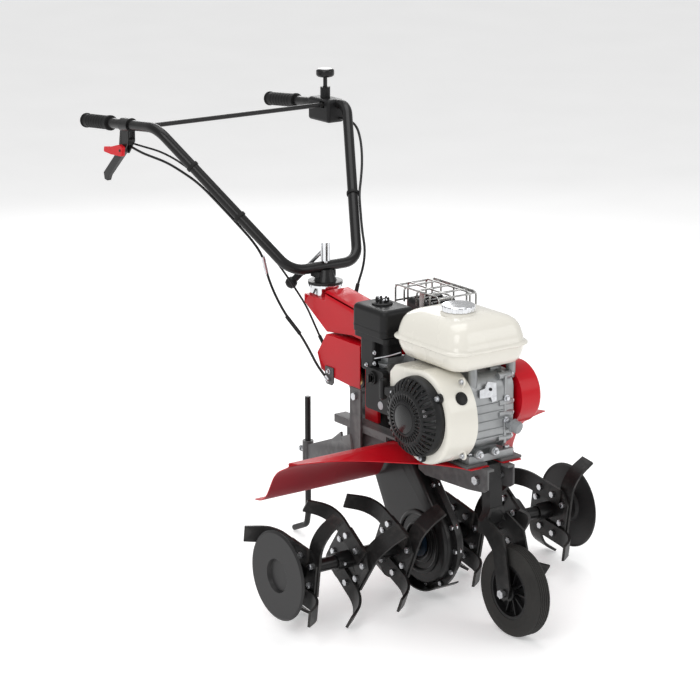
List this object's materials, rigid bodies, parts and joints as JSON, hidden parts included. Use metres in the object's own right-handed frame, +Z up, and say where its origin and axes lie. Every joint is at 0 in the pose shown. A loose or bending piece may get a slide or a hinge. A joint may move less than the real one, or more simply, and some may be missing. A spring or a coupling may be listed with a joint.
{
  "type": "tiller",
  "caption": "Petrol motor hoe with a belt and chain driven tine rotor, red fenders, folding front wheel, depth spur and a swinging handlebar with clutch and reverse controls.",
  "frame": {"origin": "on the ground plane, at the centre of the bounding box", "axes": "+X towards the front wheel, +Y to the machine's left, +Z up"},
  "size_m": [1.407, 0.8164, 1.052],
  "materials": {
    "red_paint": "gloss enamel over pressed steel",
    "black_paint": "satin black enamel",
    "grey_paint": "smooth mid-grey enamel",
    "cream_paint": "semi-gloss cream enamel",
    "zinc": "bright zinc-plated steel",
    "chrome": "polished plating",
    "cast_aluminium": "as-cast, fine-grained",
    "bronze": "plain sintered bronze",
    "black_plastic": "lightly grained moulding",
    "gloss_black_plastic": "smooth moulding",
    "red_plastic": "smooth moulding",
    "black_rubber": "moulded rubber",
    "tyre_rubber": "ribbed solid rubber tread"
  },
  "bodies": {
    "chassis": {"chain_case_right": "black_paint", "chain_case_left": "black_paint", "bearings": "bronze", "chain": "zinc", "drive_belt": "black_rubber", "deck": "red_paint", "outer_fenders": "red_paint", "bed": "grey_paint", "spur_bracket": "grey_paint", "engine_block": "cast_aluminium", "fan_shroud": "cream_paint", "recoil_cover": "black_plastic", "fuel_tank": "cream_paint", "filter_cover": "black_plastic", "filter_base": "black_plastic", "carburettor": "cast_aluminium", "control_panel": "black_plastic", "muffler": "black_paint", "muffler_guard": "chrome", "belt_cover": "red_paint", "gear_cover": "red_paint", "handle_column": "red_paint", "clamp_ring": "chrome", "frame_bolts": "zinc"},
    "tine_rotor": {"tine_axle": "zinc", "tine_tubes": "black_paint", "tine_blades": "black_paint", "tine_bolts": "zinc", "side_discs": "black_paint"},
    "drive_shaft": {"input_shaft": "zinc", "driven_pulley": "zinc"},
    "crank_set": {"crankshaft": "zinc", "flywheel": "cast_aluminium"},
    "idler": {"idler_arm": "zinc"},
    "arm_set": {"wheel_arm": "black_paint", "wheel_axle": "zinc"},
    "front_wheel": {"wheel_tyre": "tyre_rubber", "wheel_hub": "black_plastic"},
    "spur": {"depth_spur": "black_paint"},
    "starter": {"starter_grip": "black_plastic", "starter_rope": "black_rubber"},
    "tank_cap": {"fuel_cap": "zinc"},
    "filter_nut": {"wing_nut": "zinc"},
    "choke": {"choke_lever": "black_plastic"},
    "throttle": {"throttle_lever": "zinc"},
    "switch": {"engine_switch": "gloss_black_plastic"},
    "handle_set": {"handlebar": "black_paint", "grips": "black_rubber", "brace_rod": "black_paint", "handle_mount": "black_paint", "clamp_head": "chrome", "clutch_bracket": "black_paint", "reverse_box": "black_plastic", "clutch_cable": "black_rubber", "throttle_cable": "black_rubber", "reverse_cable": "black_rubber"},
    "clamp_handle": {"clamp_lever": "black_plastic"},
    "clutch_handle": {"clutch_lever": "gloss_black_plastic"},
    "catch": {"safety_catch": "red_plastic"},
    "knob": {"reverse_knob": "gloss_black_plastic"}
  },
  "joints": [
    {"name": "rotor_spin", "type": "hinge", "parent": "chassis", "child": "tine_rotor", "pos_m": [0.296, 0, 0.128], "axis": [0, 1, 0], "continuous": true},
    {"name": "input_spin", "type": "hinge", "parent": "chassis", "child": "drive_shaft", "pos_m": [0.074, 0, 0.45], "axis": [0, 1, 0], "continuous": true},
    {"name": "crank_spin", "type": "hinge", "parent": "chassis", "child": "crank_set", "pos_m": [0.446, 0, 0.473], "axis": [0, 1, 0], "continuous": true},
    {"name": "idler_swing", "type": "hinge", "parent": "chassis", "child": "idler", "pos_m": [0.3, 0.074, 0.47], "axis": [0, -1, 0], "range_deg": [0, 7.5]},
    {"name": "wheel_fold", "type": "hinge", "parent": "chassis", "child": "arm_set", "pos_m": [0.51, 0, 0.328], "axis": [0, -1, 0], "range_deg": [0, 90]},
    {"name": "wheel_spin", "type": "hinge", "parent": "arm_set", "child": "front_wheel", "pos_m": [0.598, 0, 0.0985], "axis": [0, 1, 0], "continuous": true},
    {"name": "spur_height", "type": "slide", "parent": "chassis", "child": "spur", "axis": [0, 0, 1], "range_m": [0, 0.11]},
    {"name": "starter_pull", "type": "slide", "parent": "chassis", "child": "starter", "axis": [-1, 0, 0], "range_m": [0, 0.6], "stiffness_N_per_m": 20, "deforming": ["starter_rope"]},
    {"name": "cap_turn", "type": "hinge", "parent": "chassis", "child": "tank_cap", "pos_m": [0.436, -0.034, 0.69], "axis": [0, 0, 1], "range_deg": [0, 90]},
    {"name": "filter_nut_turn", "type": "hinge", "parent": "chassis", "child": "filter_nut", "pos_m": [0.215, -0.07, 0.662], "axis": [0, 0, 1], "continuous": true},
    {"name": "choke_turn", "type": "hinge", "parent": "chassis", "child": "choke", "pos_m": [0.222, -0.098, 0.536], "axis": [0, 1, 0], "range_deg": [0, 50]},
    {"name": "throttle_turn", "type": "hinge", "parent": "chassis", "child": "throttle", "pos_m": [0.248, -0.098, 0.52], "axis": [0, -1, 0], "range_deg": [0, 40]},
    {"name": "switch_turn", "type": "hinge", "parent": "chassis", "child": "switch", "pos_m": [0.252, -0.125, 0.508], "axis": [0, 1, 0], "range_deg": [0, 45]},
    {"name": "handlebar_swing", "type": "hinge", "parent": "chassis", "child": "handle_set", "pos_m": [-0.098, 0, 0.63], "axis": [0, 0, 1], "range_deg": [-40, 40], "deforming": ["clutch_cable", "throttle_cable", "reverse_cable"]},
    {"name": "clamp_lever_lift", "type": "hinge", "parent": "handle_set", "child": "clamp_handle", "pos_m": [-0.098, 0, 0.712], "axis": [-0.6941, 0.7198, 0], "range_deg": [0, 110]},
    {"name": "clutch_squeeze", "type": "hinge", "parent": "handle_set", "child": "clutch_handle", "pos_m": [-0.53, -0.264, 0.905], "axis": [0, 1, 0], "range_deg": [0, 45], "stiffness_Nm_per_rad": 1.5},
    {"name": "catch_press", "type": "hinge", "parent": "handle_set", "child": "catch", "pos_m": [-0.518, -0.277, 0.903], "axis": [0, 1, 0], "range_deg": [0, 15], "stiffness_Nm_per_rad": 0.5},
    {"name": "reverse_pull", "type": "slide", "parent": "handle_set", "child": "knob", "axis": [0, 0, 1], "range_m": [0, 0.025], "stiffness_N_per_m": 300}
  ],
  "couplings": [
    {"joint": "input_spin", "follows": "rotor_spin", "ratio": 3},
    {"joint": "idler_swing", "follows": "clutch_squeeze", "ratio": 0.16}
  ]
}
